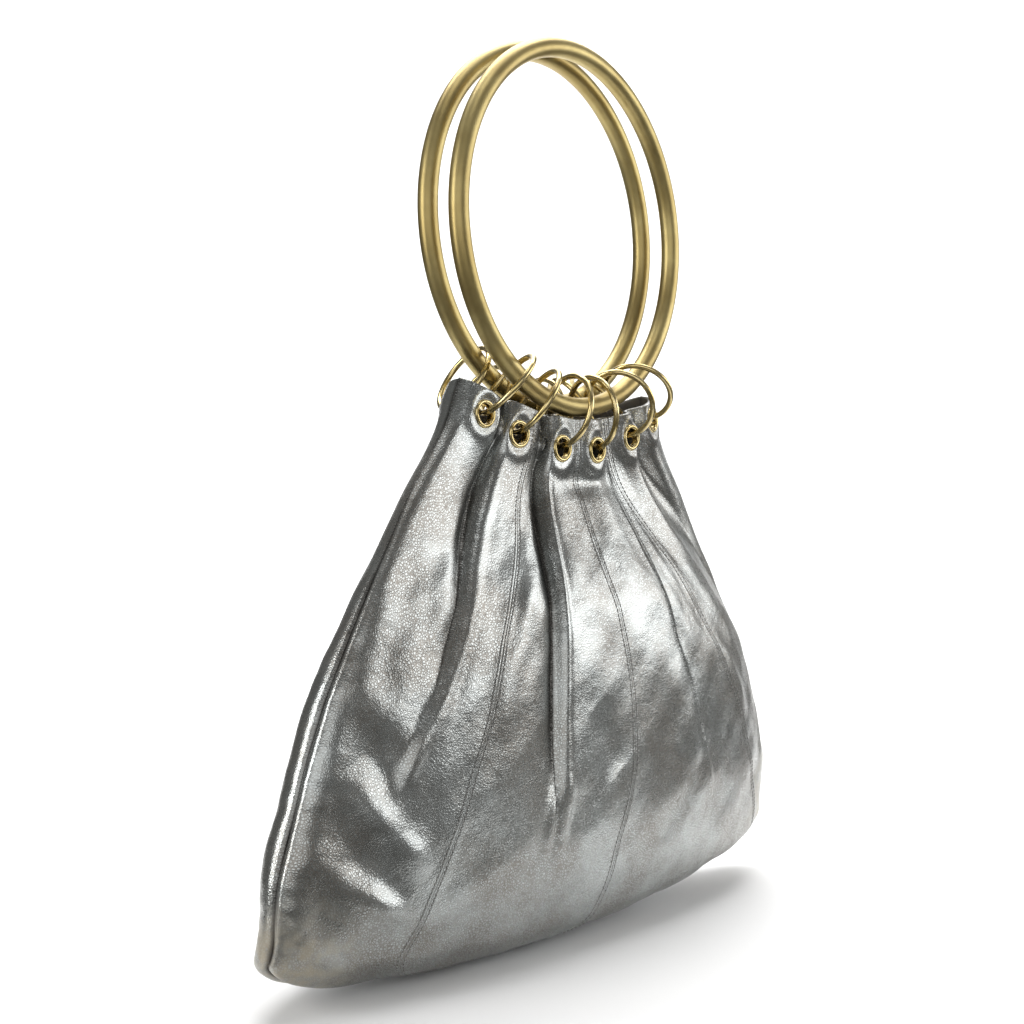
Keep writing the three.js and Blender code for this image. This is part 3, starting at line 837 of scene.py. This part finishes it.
def silver_leather():
    """Pebbled metallic leather: pale grey film on the tops of the grain, brown hide between, cloudy
    changes of tone, scuffs on the lower corners, and painted shade, near black, in the folds, seams and
    side seams."""
    material, here, place, feed = new_finish("silver leather")
    grain = {"Vector": place, "Scale": 1020.0}
    pebble = here.node("ShaderNodeTexVoronoi", {"feature": "DISTANCE_TO_EDGE"}, grain).smooth(0.0, 0.3)
    fine = noise(here, place, 2600.0, 2.0)
    cloud = noise(here, place, 26.0, 4.0, 0.6)
    streak = noise(here, place, 140.0, 5.0, 0.65)
    # Painted shade: how much each point in a fold, seam or side seam is darkened, read from the mesh
    painted_shade = here.node("ShaderNodeAttribute", {"attribute_name": "painted_shade"}, output="Fac")
    bare = (1 - pebble) * (0.25 + 0.5 * (1 - cloud.smooth(0.35, 0.65)))
    film = (0.6 * cloud.smooth(0.3, 0.7) + 0.4 * streak.smooth(0.35, 0.65)).mixed(
        (0.345, 0.355, 0.345, 1), (0.43, 0.455, 0.452, 1)
    )
    hide = bare.clamped().mixed(film, (0.17, 0.145, 0.12, 1))
    # Painted shade: the colour is darkened towards near black in the folds and seams
    shade = painted_shade.smooth(0.3, 1.0) * 0.92
    left = metres_from(LEFT_WORN, here, place).smooth(0.008, 0.034)
    right = metres_from(RIGHT_WORN, here, place).smooth(0.01, 0.045)
    corner = (2 - left - right) * (0.25 + streak.smooth(0.4, 0.6))
    worn = (corner * 0.6).clamped().mixed(hide, (0.4, 0.35, 0.26, 1))
    feed("Base Color", shade.mixed(worn, (0.05, 0.045, 0.04, 1)))
    feed("Metallic", 1 - 0.25 * bare.clamped() - 0.5 * corner.clamped())
    feed("Roughness", 0.2 + 0.14 * bare.clamped() + 0.1 * streak + 0.12 * corner.clamped())
    coarse = bumped(here, noise(here, place, 210.0, 3.0), 0.22, 0.0012)
    feed("Normal", bumped(here, pebble * 0.8 + fine * 0.2, 0.21, 0.0002, coarse))
    return material


def leather_back():
    """The leather's own inner face: matt grey-brown nap."""
    material, here, place, feed = new_finish("leather inner face", Metallic=0.0)
    cloud = noise(here, place, 60.0, 5.0, 0.6)
    feed("Base Color", cloud.smooth(0.3, 0.7).mixed((0.11, 0.1, 0.09, 1), (0.17, 0.16, 0.145, 1)))
    feed("Roughness", 0.85 + 0.1 * cloud)
    feed("Normal", bumped(here, noise(here, place, 1500.0, 3.0), 0.4, 0.0003))
    return material


def seam_thread():
    """Grey twisted sewing thread."""
    material, here, place, feed = new_finish("grey thread", Metallic=0.0)
    twist = noise(here, place, 1800.0, 2.0)
    feed("Base Color", twist.smooth(0.35, 0.65).mixed((0.2, 0.195, 0.185, 1), (0.42, 0.415, 0.4, 1)))
    feed("Roughness", 0.6 + 0.15 * twist)
    return material


def satin_brass():
    """Handle tube: worn satin brass with fine rubbing marks and duller brown patches."""
    material, here, place, feed = new_finish("satin brass", Metallic=1.0)
    cloud = noise(here, place, 30.0, 4.0, 0.6)
    rub = noise(here, place, 900.0, 3.0, 0.6)
    feed("Base Color", cloud.smooth(0.35, 0.7).mixed((0.34, 0.26, 0.105, 1), (0.49, 0.4, 0.18, 1)))
    feed("Roughness", 0.34 + 0.1 * cloud + 0.08 * rub)
    feed("Normal", bumped(here, rub, 0.12, 0.0002))
    return material


def polished_brass():
    """Small rings and eyelets: bright pale brass with faint tarnish."""
    material, here, place, feed = new_finish("polished brass", Metallic=1.0)
    cloud = noise(here, place, 160.0, 4.0, 0.6)
    feed("Base Color", cloud.smooth(0.35, 0.75).mixed((0.52, 0.41, 0.18, 1), (0.7, 0.58, 0.32, 1)))
    feed("Roughness", 0.18 + 0.14 * cloud)
    feed("Normal", bumped(here, noise(here, place, 700.0, 3.0), 0.06, 0.0002))
    return material


def pale_paper():
    """Studio floor and backdrop: white paper."""
    material, here, place, feed = new_finish("white paper", Metallic=0.0, Roughness=0.9)
    cloud = noise(here, place, 2.0, 2.0)
    feed("Base Color", cloud.mixed((0.86, 0.86, 0.86, 1), (0.9, 0.9, 0.9, 1)))
    return material


# Camera fitted to the photo, and the level directions ahead of it and to its right
CAMERA_PLACE = np.array([-481.7, -400.3, -183.95])
CAMERA_AZIMUTH = -48.5
CAMERA_LENS = 53.46
CAMERA_SENSOR = 36
AHEAD = np.array([math.sin(math.radians(-CAMERA_AZIMUTH)), math.cos(math.radians(-CAMERA_AZIMUTH)), 0])
ASIDE = np.array([AHEAD[1], -AHEAD[0], 0])
UP = np.array([0, 0, 1])

# Paper sweep, along AHEAD from the bag: a flat floor, a quarter circle and an upright
FLOOR_Z = -353.6
SWEEP_NEAR = -150
SWEEP_BEND_START = 1600
SWEEP_BEND_RADIUS = 900
SWEEP_FAR = SWEEP_BEND_START + SWEEP_BEND_RADIUS
SWEEP_HEIGHT = 4200
SWEEP_APEX = 660
SWEEP_SPREAD = 0.36
SWEEP_COLUMNS = 9
SWEEP_BEND_ROWS = 25

# Area lamps: place and aim in millimetres, width and height, watts
Lamp = namedtuple("Lamp", "name place aim wide high watts")
BAG_MIDDLE = np.array([0, 0, -230])
LAMPS = (
    Lamp("front_right_softbox", np.array([920, -830, 120]), BAG_MIDDLE, 1500, 520, 8),
    Lamp("right_fill", np.array([1100, -950, -330]), BAG_MIDDLE, 1600, 600, 0.2),
    Lamp("top_softbox", np.array([-150, -250, 900]), BAG_MIDDLE, 450, 450, 1.6),
    Lamp("low_fill", np.array([-250, -1200, -330]), BAG_MIDDLE, 1000, 500, 0.15),
    Lamp("upper_fill", np.array([620, -540, 640]), BAG_MIDDLE, 1000, 500, 0.5),
    Lamp("left_strip", np.array([-950, 320, 60]), BAG_MIDDLE, 320, 750, 5),
    Lamp("camera_fill", np.array([-880, -740, 40]), BAG_MIDDLE, 1300, 700, 4),
    Lamp("floor_lamp", 900 * AHEAD + 900 * UP, 1000 * AHEAD - 350 * UP, 1200, 1200, 9),
    Lamp("backdrop_lamp", 1000 * AHEAD + 2200 * UP, 2500 * AHEAD, 2400, 1500, 110),
)
ROOM_COLOUR = (1, 0.99, 0.95, 1)
ROOM_STRENGTH = 0.14


def add_to_scene(name, data):
    """A new object of the studio."""
    made = bpy.data.objects.new(name, data)
    bpy.context.scene.collection.objects.link(made)
    return made


def add_sweep():
    """The paper sweep, carried sideways in a straight line and wider with the distance from the camera."""
    bend = np.linspace(0, np.pi / 2, SWEEP_BEND_ROWS)
    run = np.concatenate([[SWEEP_NEAR], SWEEP_BEND_START + SWEEP_BEND_RADIUS * np.sin(bend), [SWEEP_FAR]])
    rise = np.concatenate([[0], SWEEP_BEND_RADIUS * (1 - np.cos(bend)), [SWEEP_HEIGHT]])
    across = (SWEEP_APEX + run)[:, None] * np.linspace(-SWEEP_SPREAD, SWEEP_SPREAD, SWEEP_COLUMNS)
    points = (
        run[:, None, None] * AHEAD
        + across[..., None] * ASIDE
        + (FLOOR_Z + rise)[:, None, None] * UP
    )
    mesh = bpy.data.meshes.new("studio_sweep")
    faces = grid_faces(*across.shape)[:, ::-1]
    mesh.from_pydata((points.reshape(-1, 3) * MM).tolist(), [], faces.tolist())
    mesh.polygons.foreach_set("use_smooth", np.ones(len(mesh.polygons), dtype=bool))
    mesh.materials.append(pale_paper())
    sweep = add_to_scene("studio_sweep", mesh)


def add_camera():
    """The camera that took the photo, as fitted."""
    data = bpy.data.cameras.new("photo_camera")
    data.lens = CAMERA_LENS
    data.sensor_width = CAMERA_SENSOR
    camera = add_to_scene("photo_camera", data)
    camera.location = CAMERA_PLACE * MM
    camera.rotation_euler = (math.pi / 2, 0, math.radians(CAMERA_AZIMUTH))
    bpy.context.scene.camera = camera


def add_lights():
    """The lamps of the table, unseen by the camera, and the room's own pale light."""
    for lamp in LAMPS:
        data = bpy.data.lights.new(lamp.name, "AREA")
        data.shape = "RECTANGLE"
        data.size = lamp.wide * MM
        data.size_y = lamp.high * MM
        data.energy = lamp.watts
        look = unit(lamp.aim - lamp.place)
        made = add_to_scene(lamp.name, data)
        made.location = lamp.place * MM
        made.rotation_euler = (math.acos(-look[2]), 0, math.atan2(look[1], look[0]) - math.pi / 2)
        made.visible_camera = False
    world = bpy.data.worlds.new("studio_room")
    world.use_nodes = True
    background = world.node_tree.nodes["Background"]
    background.inputs["Color"].default_value = ROOM_COLOUR
    background.inputs["Strength"].default_value = ROOM_STRENGTH
    bpy.context.scene.world = world
    bpy.context.scene.view_settings.view_transform = "Standard"


silver = silver_leather()
leather_finishes = [silver, leather_back(), silver]
thread = seam_thread()
handle_metal = satin_brass()
ring_metal = polished_brass()
for face in FACES:
    eyelets = eyelet_places(face)
    for number in range(4):
        add_gore(face, number, eyelets, leather_finishes)
    add_fittings(face, eyelets, handle_metal, ring_metal)
    add_stitching(face, eyelets, thread)
add_sweep()
add_camera()
add_lights()
